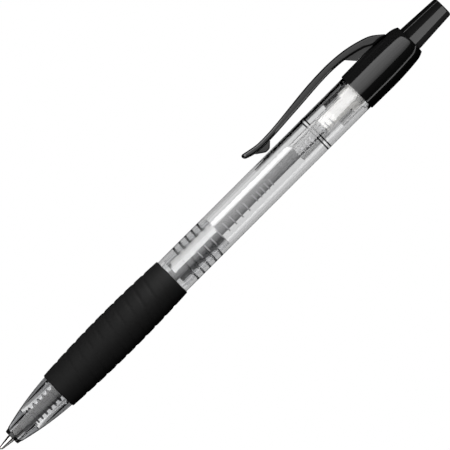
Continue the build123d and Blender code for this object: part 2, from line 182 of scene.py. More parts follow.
def card(name, spots, strength, height=FIRST_LAYER):
    """A card on the table that only shows through clear plastic, from (station, side) corners."""
    outline = [(point + station * MM, axis_side + side * MM) for station, side in spots]
    made = panel(name, outline, height * MM, strength)
    made.visible_camera = False


def strip(run, first, last):
    """Corners of a card along a run of stations, between two places to the side."""
    return [(run[0], first), (run[1], first), (run[1], last), (run[0], last)]


def across(first, last):
    """Corners of a card under the whole barrel, between two places to its side."""
    return strip((x_joint, x_cap), first, last)


# %% cards under the whole barrel
STRIP_HALF = 4.9
SIDE_REACH = 14.0
card("under_barrel", across(-STRIP_HALF, STRIP_HALF), 0.85)
card("beside_barrel", across(-SIDE_REACH, -STRIP_HALF), 0.6)
card("beside_clip", across(STRIP_HALF, SIDE_REACH), 0.6)
print("pale cards from station", round(x_joint, 1), "to", round(x_cap, 1))

# %% cards under the tinted pieces and the refill
SECOND_LAYER = 0.03
THIRD_LAYER = 0.04
spigot = (x_joint + 1.1, x_front_end)
card("under_spigot", strip(spigot, -4.4, 4.4), 0.12, SECOND_LAYER)
nose = (x_bushing_back, x_grip)
for side in (-1, 1):
    card("beside_nose", strip(nose, side * 3.7, side * 9.0), 0.4, SECOND_LAYER)
    card("nose_rim", strip(nose, side * 9.0, side * 40.0), 0.0, SECOND_LAYER)
holder = (stations("refill_holder")[0], stations("cam_sleeve")[0])
# painted shade: near-black cards on the side away from the key light darken the holder's far side
# and draw a dark line along the tube's far edge
card("under_holder", strip(holder, -2.5, -1.2), 0.03, SECOND_LAYER)
card("under_tube", strip((x_front_end, holder[0]), -1.66, -1.1), 0.0, SECOND_LAYER)
sleeve = (holder[1], x_cap)
# painted shade: a dark card on the side away from the key light darkens the sleeve's far side
card("under_sleeve", strip(sleeve, -3.4, -1.2), 0.05, SECOND_LAYER)
card("over_sleeve", strip(sleeve, 2.4, 3.6), 0.35, SECOND_LAYER)
shadow = [(x_cap - 29.4, 6.0), (x_cap - 1.0, 4.9), (x_cap - 1.0, 13.0), (x_cap - 20.0, 13.0)]
card("clip_shadow", shadow, 0.0, THIRD_LAYER)
print("panels and cards:", len(bpy.data.meshes) - cad_meshes)

# %% [markdown]
# A large pale dome closes the set behind the pen, and only the camera sees it. The
# world itself is dim, so that the light on the pen has a direction.

# %% dome and world
DOME_RADIUS = 4.0
DOME_LIGHT = 0.95
dome_mesh = bpy.data.meshes.new("dome")
work = bmesh.new()
bmesh.ops.create_uvsphere(work, u_segments=48, v_segments=24, radius=DOME_RADIUS)
work.to_mesh(dome_mesh)
work.free()
dome_mesh.materials.append(glow("dome_light", DOME_LIGHT))
dome = bpy.data.objects.new("dome", dome_mesh)
for seen_by in ("diffuse", "glossy", "transmission", "shadow", "volume_scatter"):
    setattr(dome, "visible_" + seen_by, False)
bpy.context.scene.collection.objects.link(dome)

ROOM_LIGHT = 0.10
world = bpy.data.worlds.new("dim_room")
world.use_nodes = True
world.node_tree.nodes["Background"].inputs["Color"].default_value = (1, 1, 1, 1)
world.node_tree.nodes["Background"].inputs["Strength"].default_value = ROOM_LIGHT
world.cycles_visibility.glossy = False
bpy.context.scene.world = world
print("the world gives", ROOM_LIGHT, "of white")

# %% [markdown]
# A line of sight through this pen crosses many clear walls, one after the other: the
# barrel, the spigot, a holder and a tube, each with two faces on both sides. So it needs
# more bounces than a solid object does, or the middle of the pen would go black.

# %% bounces and view transform
WALL_BOUNCES = 24
bpy.context.scene.view_settings.view_transform = "Standard"
bpy.context.scene.cycles.max_bounces = WALL_BOUNCES
bpy.context.scene.cycles.transmission_bounces = WALL_BOUNCES
print("bounces:", WALL_BOUNCES)

# %% [markdown]
# A softbox is a flat area light. What a glossy cylinder shows of it is a straight
# band, and the band's edges lie where the mirrored line of sight leaves the box. So
# each box is set by the two angles from the vertical that it spans as the pen sees
# it, with minus towards the clip, and by how bright its face is. Lines of sight that
# went through clear plastic don't see the boxes, which keeps the barrel free of
# bright specks.


# %% softbox helpers
def softbox(name, height, angles, x_range, brightness):
    """A flat box over the pen, between two angles from the vertical and two places along it."""
    first, last = (height * tan(radians(angle)) for angle in angles)
    light = bpy.data.lights.new(name, "AREA")
    light.shape = "RECTANGLE"
    light.size = x_range[1] - x_range[0]
    light.size_y = last - first
    light.energy = brightness * pi * light.size * light.size_y
    box = bpy.data.objects.new(name, light)
    side = axis_side - (first + last) / 2
    box.location = ((x_range[0] + x_range[1]) / 2, side, height)
    box.visible_camera = False
    box.visible_transmission = False
    bpy.context.scene.collection.objects.link(box)
    return box


def low_strip(name, distance, angles, x_range, brightness):
    """An upright strip beside the pen, between two angles from the vertical."""
    top, bottom = (axis_height + distance / tan(radians(abs(angle))) for angle in angles)
    light = bpy.data.lights.new(name, "AREA")
    light.shape = "RECTANGLE"
    light.size = x_range[1] - x_range[0]
    light.size_y = top - bottom
    light.energy = brightness * pi * light.size * light.size_y
    upright = bpy.data.objects.new(name, light)
    towards = -1 if angles[0] > 0 else 1
    side = axis_side + towards * distance
    upright.location = ((x_range[0] + x_range[1]) / 2, side, (top + bottom) / 2)
    upright.rotation_euler = (-towards * pi / 2, 0, 0)
    upright.visible_camera = False
    upright.visible_transmission = False
    bpy.context.scene.collection.objects.link(upright)
    return upright


# %% [markdown]
# The key light is a row of boxes side by side, each a little dimmer than the last, so
# the band on the cap fades from one edge to the other. A low strip on the far side
# gives the thin line along the cap. Only the boxes on the clip's side light matt
# surfaces; the others are seen in gloss alone, so that round pieces keep a dark side.

# %% key light
KEY_HEIGHT = 0.35
KEY_STEPS = [(-56, 3.8), (-40, 3.4), (-24, 2.9), (-8, 2.5), (5, 1.8), (14, 1.3), (22, 0.0)]
SHADE_FROM = -24
STRIP_GLARE = 3.0
key_run = (-0.5, 0.5)
for (first, level), (last, _) in zip(KEY_STEPS, KEY_STEPS[1:]):
    key = softbox(f"key_{last}", KEY_HEIGHT, (first, last), key_run, level)
    key.visible_diffuse = first < SHADE_FROM
side_strip = low_strip("side_strip", KEY_HEIGHT, (74, 82), key_run, STRIP_GLARE)
side_strip.visible_diffuse = False
print("key light: boxes from", KEY_STEPS[0][0], "to", KEY_STEPS[-1][0], "degrees")

# %% [markdown]
# The clear barrel mirrors little, so the white streaks on it need much brighter boxes
# than the cap does. Three small ones hang close over the barrel, each as long as the
# stretch whose streak it makes: the plain barrel, the spigot and the click parts.

# %% boxes close over the barrel
CLOSE = 0.03
CLICK_RISE = 0.006  # over the axis


def run_of(first, last):
    """Two places along the pen in metres, from two stations."""
    return point + first * MM, point + last * MM


barrel_box = softbox("barrel_box", CLOSE, (-61, -36), run_of(x_joint + 1.5, holder[0]), 8.0)
spigot_box = softbox("spigot_box", CLOSE, (-36, -3), run_of(*spigot), 11.0)
click_run = run_of(holder[0], x_cap - 0.5)
click_box = softbox("click_box", axis_height + CLICK_RISE, (-26, 7), click_run, 5.0)
for box in (barrel_box, spigot_box, click_box):
    box.visible_diffuse = False
common_lights = [made for made in bpy.data.objects if made.type == "LIGHT"]
print("lights:", len(common_lights))

# %% [markdown]
# Moulded plastic is never quite smooth or quite even. One helper makes a plastic from
# the shader's own settings, and adds a fine noise that lifts the surface a little and
# shifts its shine, as the grain of a mould does. Noise in the space of the object needs
# no unwrapping, so it works on any of the meshes below.


# %% finishes: the shared helper
def finish(name, colour, roughness, grain=0.0, grain_size=0.3, uneven=0.0, **settings):
    """A Principled finish with a fine grain (depth and size in mm) and uneven shine."""
    made = bpy.data.materials.new(name)
    made.use_nodes = True
    nodes = made.node_tree.nodes
    links = made.node_tree.links
    shader = nodes["Principled BSDF"]
    shader.inputs["Base Color"].default_value = (*colour, 1)
    shader.inputs["Roughness"].default_value = roughness
    for setting, value in settings.items():
        shader.inputs[setting.replace("_", " ")].default_value = value
    where = nodes.new("ShaderNodeTexCoord")
    noise = nodes.new("ShaderNodeTexNoise")
    noise.inputs["Scale"].default_value = 1 / (grain_size * MM)
    noise.inputs["Detail"].default_value = 4
    links.new(where.outputs["Object"], noise.inputs["Vector"])
    if grain:
        bump = nodes.new("ShaderNodeBump")
        bump.inputs["Distance"].default_value = grain * MM
        bump.inputs["Strength"].default_value = 1.0
        links.new(noise.outputs["Fac"], bump.inputs["Height"])
        links.new(bump.outputs["Normal"], shader.inputs["Normal"])
    if uneven:
        shine = nodes.new("ShaderNodeMapRange")
        shine.inputs["To Min"].default_value = max(0.0, roughness - uneven)
        shine.inputs["To Max"].default_value = roughness + uneven
        links.new(noise.outputs["Fac"], shine.inputs["Value"])
        links.new(shine.outputs["Result"], shader.inputs["Roughness"])
    print("finish:", name)
    return made


# %% [markdown]
# The finishes of this pen. The clear plastic bends light about as glass does, and its
# tint depends on how far light travels in it, so its thick edges look darker than its
# walls. The front section is the same plastic with a smoke tint. The black pieces are
# glossy, the clip is a little duller, and the grip is soft rubber with a fine tooth.
# The metal pieces differ in colour: nickel silver for the tip, spring steel for the coil.

# %% finishes of this pen
CLEAR_INDEX = 1.52


def tinted(name, tint, density):
    """Clear plastic whose tint comes from how far the light travels inside it."""
    made = finish(name, (1.0, 1.0, 1.0), 0.0, Transmission_Weight=1.0, IOR=CLEAR_INDEX)
    nodes = made.node_tree.nodes
    absorb = nodes.new("ShaderNodeVolumeAbsorption")
    absorb.inputs["Color"].default_value = (*tint, 1)
    absorb.inputs["Density"].default_value = density
    made.node_tree.links.new(absorb.outputs["Volume"], nodes["Material Output"].inputs["Volume"])
    return made


clear_plastic = tinted("clear_styrene", (0.60, 0.61, 0.62), 250)
smoke_plastic = tinted("smoke_styrene", (0.30, 0.31, 0.33), 380)
clear_parts = tinted("clear_click_parts", (0.50, 0.50, 0.50), 700)
clear_collar = tinted("clear_collar", (0.60, 0.61, 0.62), 300)
holder_clear = tinted("clear_holder", (0.55, 0.55, 0.55), 420)
black_gloss = finish("black_gloss", (0.008, 0.008, 0.008), 0.1, 0.002, 1.5, 0.03,
                     Specular_IOR_Level=0.36)
black_satin = finish("black_satin_clip", (0.007, 0.007, 0.007), 0.14, 0.004, 0.4, 0.05,
                     Specular_IOR_Level=0.27)
grip_rubber = finish("grip_rubber", (0.012, 0.012, 0.012), 0.6, 0.012, 0.12, 0.08,
                     Specular_IOR_Level=0.05)
tip_metal = finish("nickel_silver", (0.46, 0.45, 0.44), 0.14, 0.003, 0.2, 0.06, Metallic=1.0)
ball_metal = finish("carbide_ball", (0.35, 0.35, 0.36), 0.12, 0.001, 0.1, 0.04, Metallic=1.0)
spring_steel = finish("spring_steel", (0.16, 0.16, 0.17), 0.35, 0.003, 0.3, 0.08, Metallic=1.0)
tube_plastic = finish("milky_tube", (0.19, 0.19, 0.193), 0.18, 0.002, 0.6, 0.04)
holder_plastic = finish("tip_holder_plastic", (0.14, 0.14, 0.14), 0.3, 0.002, 0.6, 0.04)
white_plastic = finish("white_cam", (0.80, 0.79, 0.77), 0.25, 0.003, 0.5, 0.05)
ink = finish("black_ink", (0.005, 0.005, 0.008), 0.08, 0.0, 1.0, 0.03)
grease = finish("follower_grease", (0.75, 0.73, 0.62), 0.3, 0.004, 0.8, 0.05)

# %% [markdown]
# Three helpers make every turned piece. The first rounds the corners of an outline,
# because no moulded or turned edge is perfectly sharp and the round is what catches
# the light. The second adds rings where a surface will be shaped. The third sweeps the
# outline round the axis, and can shift each point's radius by its station and angle,
# which is how screw threads and slanting grooves are cut.

# %% outline and lathe helpers
ARC_STEPS = 5
SMOOTH_ANGLE = 32


def rounded(outline):
    """Outline points, with each corner that has a third number rounded to that radius."""
    points = []
    for number, corner in enumerate(outline):
        here = Vector(corner[:2])
        if len(corner) == 2:
            points.append(here)
            continue
        before = (Vector(outline[number - 1][:2]) - here).normalized()
        after = (Vector(outline[(number + 1) % len(outline)][:2]) - here).normalized()
        half = before.angle(after) / 2
        centre = here + (before + after).normalized() * corner[2] / sin(half)
        start = here + before * corner[2] / tan(half) - centre
        end = here + after * corner[2] / tan(half) - centre
        for step in range(ARC_STEPS + 1):
            points.append(centre + start.slerp(end, step / ARC_STEPS) * corner[2])
    return points


def finely(points, first, last, step):
    """The same outline with a point every step along its stretches between two stations."""
    made = []
    for number, here in enumerate(points):
        after = points[(number + 1) % len(points)]
        made.append(here)
        run = after[0] - here[0]
        if abs(run) < step:
            continue
        shares = sorted((station - here[0]) / run for station in (first, last))
        start, stop = max(0.0, shares[0]), min(1.0, shares[1])
        pieces = int(abs(run) * (stop - start) / step)
        for cut in range(pieces + 1):
            share = start + (stop - start) * cut / max(pieces, 1)
            if stop > start and 0 < share < 1:
                made.append(here.lerp(after, share))
    return made


def linked(name, mesh, body, material):
    """An object for a mesh, smooth but for its real edges, that rides on a body."""
    mesh.polygons.foreach_set("use_smooth", [True] * len(mesh.polygons))
    mesh.set_sharp_from_angle(angle=radians(SMOOTH_ANGLE))
    mesh.materials.append(material)
    piece = bpy.data.objects.new(name, mesh)
    bpy.context.scene.collection.objects.link(piece)
    if body:
        crisp = piece.modifiers.new("crisp_normals", "WEIGHTED_NORMAL")
        crisp.keep_sharp = True
        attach(piece, body)
    print(f"{name}: {len(mesh.polygons)} faces")
    return piece


def turned(name, outline, body, material, around=96, shape=None):
    """A piece turned from a closed outline of (station, radius) points."""
    mesh = bpy.data.meshes.new(name)
    work = bmesh.new()
    rings = []
    for station, radius in outline:
        ring = []
        for number in range(around):
            angle = 360 * number / around
            shift = shape(station, radius, angle) if shape else 0.0
            ring.append(work.verts.new(place(station, max(radius + shift, 0.0), angle)))
        rings.append(ring)
    for number, ring in enumerate(rings):
        after = rings[(number + 1) % len(rings)]
        for side in range(around):
            far = (side + 1) % around
            work.faces.new((ring[side], ring[far], after[far], after[side]))
    bmesh.ops.remove_doubles(work, verts=work.verts, dist=0.0001 * MM)
    bmesh.ops.dissolve_degenerate(work, edges=work.edges, dist=0.0001 * MM)
    bmesh.ops.recalc_face_normals(work, faces=work.faces)
    work.to_mesh(mesh)
    work.free()
    return linked(name, mesh, body, material)


# %% [markdown]
# The rear barrel is a clear tube, open at both ends. The look of a clear tube comes
# from its wall, so it is made as a real shell with an inner and an outer face, and the
# light bends at both. Its bore carries the thread that the front section screws into,
# a narrow ring groove near its rear end, and a flare where the cap's collar sits.

# %% thread shared by the barrel and the front section
THREAD_START = 59.80
THREAD_PITCH = 1.945
THREAD_TURNS = 5
THREAD_DEPTH = 0.20
THREAD_HALF_WIDTH = 0.22
THREAD_FROM = 273.0  # angle at which the thread starts


def thread(station, angle):
    """How far the thread stands out at a place, from 0 to its full depth."""
    wound = (THREAD_FROM - angle) % 360 / 360
    turns = (station - THREAD_START) / THREAD_PITCH - wound
    nearest = round(turns)
    if not 0 <= nearest < THREAD_TURNS:
        return 0.0
    away = abs(turns - nearest) * THREAD_PITCH / THREAD_HALF_WIDTH
    return THREAD_DEPTH * max(0.0, 1 - away)


# %% clear rear barrel
BARREL_WALL = 0.76
r_bore = r_barrel - BARREL_WALL
x_ring = x_cap - 13.45
RING_HALF = 0.62
RING_FLOOR_HALF = 0.28
RING_DEPTH = 0.30
FLARE = 1.40
FLARE_RISE = 0.52
barrel_outline = rounded([
    (x_joint, r_bore, 0.06),
    (x_ring - RING_HALF, r_bore),
    (x_ring - RING_FLOOR_HALF, r_bore + RING_DEPTH),
    (x_ring + RING_FLOOR_HALF, r_bore + RING_DEPTH),
    (x_ring + RING_HALF, r_bore),
    (x_cap - FLARE, r_bore),
    (x_cap, r_bore + FLARE_RISE),
    (x_cap, r_barrel, 0.08),
    (x_joint, r_barrel, 0.10),
])
thread_end = THREAD_START + THREAD_TURNS * THREAD_PITCH
THREAD_STEP = 0.08
barrel_outline = finely(barrel_outline, x_joint, thread_end, THREAD_STEP)


def barrel_shape(station, radius, angle):
    """The thread's groove, in the bore only."""
    return thread(station, angle) if abs(radius - r_bore) < 0.01 else 0.0


THREAD_SIDES = 144
rear_barrel = turned("rear_barrel_shell", barrel_outline, "barrel", clear_plastic, THREAD_SIDES,
                     barrel_shape)
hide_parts("rear_barrel")

# %% [markdown]
# A pen like this has a line of grey print along its barrel. Plain upright bars in four
# groups stand for it here, and they say nothing. Each bar is a thin skin of ink that
# follows the round of the barrel, so it is a small curved slab over the clear wall.

# %% print on the barrel
BAR_WIDTH = 0.34
BAR_UNDERSIDE = 0.002
BAR_SKIN = 0.012
BAR_GROUPS = [(64.4, 8, 2.2, 84, 114), (82.6, 5, 1.3, 86, 110), (98.4, 3, 1.5, 85, 110),
              (104.9, 3, 1.4, 86, 110)]  # first station, bars, pitch, first and last angle
print_ink = finish("grey_print", (0.38, 0.38, 0.39), 0.45, 0.002, 0.2, 0.06)
bars_mesh = bpy.data.meshes.new("print_bars")
work = bmesh.new()
for start, bars, pitch, low_angle, high_angle in BAR_GROUPS:
    for bar in range(bars):
        ends = (start + bar * pitch, start + bar * pitch + BAR_WIDTH)
        rows = []
        for angle in range(low_angle, high_angle + 1):
            skin = [(ends[0], BAR_UNDERSIDE), (ends[1], BAR_UNDERSIDE), (ends[1], BAR_SKIN),
                    (ends[0], BAR_SKIN)]
            rows.append([work.verts.new(place(x, r_barrel + rise, angle)) for x, rise in skin])
        for before, after in zip(rows, rows[1:]):
            for side in range(4):
                far = (side + 1) % 4
                work.faces.new((before[side], before[far], after[far], after[side]))
        work.faces.new(rows[0])
        work.faces.new(rows[-1])
bmesh.ops.recalc_face_normals(work, faces=work.faces)
work.to_mesh(bars_mesh)
work.free()
print_bars = linked("print_bars", bars_mesh, "barrel", print_ink)

# %% [markdown]
# The front section is one long moulding in smoke-tinted plastic. It shows as the nose
# in front of the grip and as the spigot inside the barrel behind it, and the rubber
# hides its middle. The nose swells in a long shallow arc, so a helper gives points on
# an arc of a known radius instead of a list of radii.

# %% arcs for outlines
CURVE_STEPS = 24


def bowed(start, end, curve, steps=CURVE_STEPS):
    """Points on a shallow outward arc of a given radius between two outline points."""
    start, end = Vector(start), Vector(end)
    chord = end - start
    middle = (start + end) / 2
    outwards = Vector((-chord.y, chord.x)).normalized()
    if outwards.y < 0:
        outwards = -outwards
    depth = sqrt(curve**2 - (chord.length / 2) ** 2)
    centre = middle - outwards * depth
    points = []
    for step in range(steps + 1):
        flat = start.lerp(end, step / steps)
        points.append(centre + (flat - centre).normalized() * curve)
    return points


def rolling(start, end, steps=8):
    """Points on the arc that leaves start level with the axis and ends at end."""
    start, end = Vector(start), Vector(end)
    chord = end - start
    radius = chord.length_squared / (2 * abs(chord.y))
    turn = 2 * asin(chord.length / (2 * radius))
    points = []
    for step in range(steps + 1):
        angle = turn * step / steps
        points.append(Vector((start.x + radius * sin(angle), start.y - radius * (1 - cos(angle)))))
    return points


# %% smoke front section
NOSE_FRONT = 1.95
NOSE_BACK = 4.52
NOSE_CURVE = 77.8
GRIP_CORE = 4.10
SPIGOT = 3.90
FRONT_BORE = 3.20
NECK = 3.50
NECK_LENGTH = 1.10
SEAT_DEPTH = 5.84
SEAT_RADIUS = 2.34
SEAT_RECESS = 0.63
POINT_BORE = 1.53
BUSHING_BACK = 2.118
x_seat = x_bushing_back + SEAT_DEPTH
nose_curve = bowed((x_nose, NOSE_FRONT), (x_grip, NOSE_BACK), NOSE_CURVE)
nose_curve = [tuple(spot) for spot in nose_curve if spot.x > x_bushing_back + 0.05]
front_outline = rounded([
    (x_bushing_back, BUSHING_BACK, 0.05),
    *nose_curve[:-1],
    (x_grip, NOSE_BACK, 0.12),
    (x_grip, GRIP_CORE),
    (x_joint, GRIP_CORE, 0.10),
    (x_joint, NECK),
    (x_joint + NECK_LENGTH, NECK),
    (x_joint + NECK_LENGTH, SPIGOT, 0.10),
    (x_front_end, SPIGOT, 0.15),
    (x_front_end, FRONT_BORE, 0.08),
    (x_grip, FRONT_BORE),
    (x_seat, FRONT_BORE),
    (x_seat - SEAT_RECESS, FRONT_BORE),
    (x_seat - SEAT_RECESS, SEAT_RADIUS),
    (x_seat, SEAT_RADIUS),
    (x_seat, POINT_BORE),
    (x_bushing_back, POINT_BORE),
])
front_outline = finely(front_outline, THREAD_START, thread_end, THREAD_STEP)


def spigot_shape(station, radius, angle):
    """The thread's ridge, on the outside of the spigot."""
    return thread(station, angle) if abs(radius - SPIGOT) < 0.01 else 0.0


front_barrel = turned("front_section", front_outline, "barrel", smoke_plastic, THREAD_SIDES,
                      spigot_shape)
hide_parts("front_barrel")

# %% [markdown]
# A black bushing is pressed into the front of the nose, and the metal point slides in
# it. Its rim follows the nose's curve, with small rounds at its edges.

# %% nose bushing
BUSHING_BORE = 1.17
bushing_outline = rounded([
    (x_nose, BUSHING_BORE, 0.06),
    (x_nose, NOSE_FRONT, 0.16),
    (x_bushing_back, BUSHING_BACK, 0.04),
    (x_bushing_back, BUSHING_BORE, 0.04),
])
nose_bushing = turned("nose_bushing_ring", bushing_outline, "barrel", black_gloss)
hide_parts("nose_bushing")

# %% [markdown]
# The grip is a sleeve of soft rubber with shallow grooves that wind round it like a
# two-start screw. The grooves are real dents in the mesh, made by moving each point
# of the outer face inwards by a smooth wave of its station and angle. They fade out
# near both ends, where the real sleeve has a plain collar.

# %% rubber grip
GRIP_FRONT = 4.86
GRIP_BACK = 5.00
GRIP_CURVE = 298.0
GROOVE_LEAD = 6.30
GROOVE_STARTS = 2
GROOVE_DEPTH = 0.16
GROOVE_SHARE = 0.42  # of the pitch, the rest is land
GROOVE_FROM = 23.5  # station of a groove on the clip side
GROOVE_FADE = 1.6
GROOVE_MARGIN = 2.4
GRIP_STEP = 0.2
GRIP_SIDES = 160


def grip_shape(station, radius, angle):
    """The slanting grooves, in the sleeve's outside."""
    if radius < GRIP_CORE + 0.4:
        return 0.0
    turns = GROOVE_STARTS * ((station - GROOVE_FROM) / GROOVE_LEAD + angle / 360)
    away = abs(turns - round(turns)) * 2 / GROOVE_SHARE
    if away >= 1:
        return 0.0
    ends = min(station - x_grip, x_joint - station) - GROOVE_MARGIN
    fade = min(1.0, max(0.0, ends / GROOVE_FADE))
    return -GROOVE_DEPTH * fade * (0.5 + 0.5 * cos(pi * away))


grip_curve = bowed((x_grip, GRIP_FRONT), (x_joint, GRIP_BACK), GRIP_CURVE)
grip_outline = rounded([
    (x_grip, GRIP_CORE + 0.02),
    (x_grip, GRIP_FRONT, 0.22),
    *[tuple(spot) for spot in grip_curve[1:-1]],
    (x_joint, GRIP_BACK, 0.22),
    (x_joint, GRIP_CORE + 0.02),
])
grip_outline = finely(grip_outline, x_grip + 1, x_joint - 1, GRIP_STEP)
rubber_grip = turned("grip_sleeve", grip_outline, "barrel", grip_rubber, GRIP_SIDES, grip_shape)
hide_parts("rubber_grip")

# %% [markdown]
# The rear cap is a short glossy barrel: it swells a little, tapers, and rolls over at
# its crown to a flat end with a hole for the button. The edges are rounded, and the
# roll is two tangent arcs, because on a black glossy piece the reflection shows every
# kink in the outline.

# %% rear cap
CAP_FRONT = r_barrel + 0.34
CAP_FULL = r_barrel + 0.42
x_cap_full = x_cap + 7.0
x_crown = x_cap_end - 2.10
CROWN = CAP_FULL - 0.44
CAP_END = CAP_FULL - 1.17
CROWN_ROLL = 5.5
BUTTON_HOLE = 3.21
COLLAR_SEAT = 4.46
COLLAR_SEAT_LENGTH = 4.0
CAP_END_WALL = 1.10
CAP_SIDES = 128
cap_taper = [tuple(spot) for spot in rolling((x_cap_full, CAP_FULL), (x_crown, CROWN), 12)]
crown_roll = bowed((x_crown, CROWN), (x_cap_end, CAP_END), CROWN_ROLL, 8)
cap_outline = rounded([
    (x_cap, r_barrel - 0.5),
    (x_cap, CAP_FRONT, 0.20),
    *cap_taper,
    *[tuple(spot) for spot in crown_roll[1:-1]],
    (x_cap_end, CAP_END, 0.12),
    (x_cap_end, BUTTON_HOLE, 0.08),
    (x_cap_end - CAP_END_WALL, BUTTON_HOLE),
    (x_cap_end - CAP_END_WALL, r_bore),
    (x_cap + COLLAR_SEAT_LENGTH, r_bore),
    (x_cap + COLLAR_SEAT_LENGTH, COLLAR_SEAT),
    (x_cap, COLLAR_SEAT),
])
rear_cap = turned("rear_cap_shell", cap_outline, "barrel", black_gloss, CAP_SIDES)
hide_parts("rear_cap")

# %% [markdown]
# The push button is a tapering plug with a soft round at its end. It slides in the
# cap's hole, so it rides on its own body. The plunger that it carries is inside the
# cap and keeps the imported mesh.

# %% push button
x_button = stations("push_button")[0]
BUTTON_ROOT = 3.16
BUTTON_END = 2.60
BUTTON_FLANGE = 3.84
FLANGE_LENGTH = 0.80
PLUNGER_BORE = 2.30
PLUNGER_DEPTH = 10.02
BUTTON_BORE = 1.74
BUTTON_END_WALL = 1.40
TAPER_FROM = 0.45  # behind the cap's end
button_outline = rounded([
    (x_button, PLUNGER_BORE),
    (x_button, BUTTON_FLANGE, 0.08),
    (x_button + FLANGE_LENGTH, BUTTON_FLANGE, 0.08),
    (x_button + FLANGE_LENGTH, BUTTON_ROOT),
    (x_cap_end + TAPER_FROM, BUTTON_ROOT),
    (x_button_end, BUTTON_END, 0.45),
    (x_button_end, 0),
    (x_button_end - BUTTON_END_WALL, 0),
    (x_button_end - BUTTON_END_WALL, BUTTON_BORE),
    (x_button + PLUNGER_DEPTH, BUTTON_BORE),
    (x_button + PLUNGER_DEPTH, PLUNGER_BORE),
])
push_button = turned("button", button_outline, "button", black_gloss, 96)
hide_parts("push_button")

# %% [markdown]
# The button's bright band lies further from the clip than the cap's. So the button has a
# box and a strip of its own, and light linking keeps these two for the button and the
# other lights for everything else.

# %% the button's own light
button_box = softbox("button_box", KEY_HEIGHT, (-9, 66), key_run, STRIP_GLARE)
button_strip = low_strip("button_strip", KEY_HEIGHT, (-83, -88), key_run, STRIP_GLARE)
only_button = bpy.data.collections.new("only_button")
all_but_button = bpy.data.collections.new("all_but_button")
for group in (only_button, all_but_button):
    group.objects.link(push_button)
all_but_button.collection_objects[0].light_linking.link_state = "EXCLUDE"
for light in (button_box, button_strip):
    light.light_linking.receiver_collection = only_button
for light in common_lights:
    light.light_linking.receiver_collection = all_but_button
print("lights linked:", 2 + len(common_lights))

# %% [markdown]
# The refill is a metal point, a plastic holder for it, and a long milky tube of ink.
# The point is turned from nickel silver: a fine cone with a rim rolled over the ball,
# a straight part, and a shank. Each is a short outline for the lathe helper.

# %% refill
x_shank_back = stations("tip_holder")[0]
x_tube_back = stations("ink_tube")[1]
SHOULDER = 21.05
TUBE_FRONT = 21.09
TUBE_RADIUS = 1.40
TUBE_BORE = 1.00
tip_outline = rounded([
    (0.30, 0.37),
    (0.30, 0.44, 0.03),
    (3.20, 0.88, 0.30),
    (4.30, 0.88),
    (4.30, 1.12, 0.05),
    (x_shank_back, 1.12),
    (x_shank_back + 2.3, 0.90),
    (x_shank_back + 2.3, 0.30),
    (0.72, 0.20),
])
writing_tip = turned("writing_point", tip_outline, "refill", tip_metal)
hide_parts("writing_tip")
tip_holder_outline = rounded([
    (x_shank_back, 1.13),
    (x_shank_back, 1.44, 0.08),
    (SHOULDER, 1.44, 0.05),
    (SHOULDER, 0.98),
    (x_shank_back + 3, 0.55),
    (x_shank_back + 2.4, 0.95),
])
tip_holder = turned("point_holder", tip_holder_outline, "refill", holder_plastic)
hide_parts("tip_holder")
tube_outline = rounded([
    (TUBE_FRONT, TUBE_BORE),
    (TUBE_FRONT, TUBE_RADIUS, 0.06),
    (x_tube_back, TUBE_RADIUS, 0.06),
    (x_tube_back, TUBE_BORE),
])
ink_tube = turned("refill_tube", tube_outline, "refill", tube_plastic)
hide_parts("ink_tube")

# %% [markdown]
# At the refill's back is a holder: a slim clear tube that grips the ink tube at one
# end and takes the white stem of the rotor at the other. A clear sleeve round it is
# fixed in the cap, and the rotor turns in it. Both are real double-walled tubes, so
# the white parts inside them show as they do in the real pen.

# %% refill holder and cam sleeve
HOLDER_RADIUS = 2.45
TUBE_SOCKET = 1.42
STEM_SOCKET = 1.83
HOLDER_HOLE = 0.60
x_holder, x_holder_back = stations("refill_holder")
x_stem_socket = stations("cam_rotor")[0] - 0.18
x_tube_socket = x_tube_back + 0.02
holder_outline = rounded([
    (x_holder, TUBE_SOCKET),
    (x_holder, HOLDER_RADIUS, 0.12),
    (x_holder_back, HOLDER_RADIUS, 0.08),
    (x_holder_back, STEM_SOCKET),
    (x_stem_socket, STEM_SOCKET),
    (x_stem_socket, HOLDER_HOLE),
    (x_tube_socket, HOLDER_HOLE),
    (x_tube_socket, TUBE_SOCKET),
])
refill_holder = turned("rear_holder", holder_outline, "refill", holder_clear)
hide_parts("refill_holder")
x_sleeve, x_sleeve_back = stations("cam_sleeve")
SLEEVE_RADIUS = 3.47
SLEEVE_BORE = 2.95
sleeve_outline = rounded([
    (x_sleeve, SLEEVE_BORE, 0.06),
    (x_sleeve, SLEEVE_RADIUS, 0.10),
    (x_sleeve_back, SLEEVE_RADIUS),
    (x_sleeve_back, SLEEVE_BORE),
])
cam_sleeve = turned("guide_sleeve", sleeve_outline, "barrel", clear_parts)
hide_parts("cam_sleeve")
COLLAR_BORE = 3.49
COLLAR_RADIUS = 4.44
COLLAR_INTO_CAP = 2.6
collar_outline = rounded([
    (x_cap - FLARE, COLLAR_BORE),
    (x_cap - FLARE, r_bore - 0.02),
    (x_cap, COLLAR_RADIUS),
    (x_cap + COLLAR_INTO_CAP, COLLAR_RADIUS),
    (x_cap + COLLAR_INTO_CAP, COLLAR_BORE),
])
cap_collar = turned("collar_ring", collar_outline, "barrel", clear_collar)
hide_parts("cap_collar")
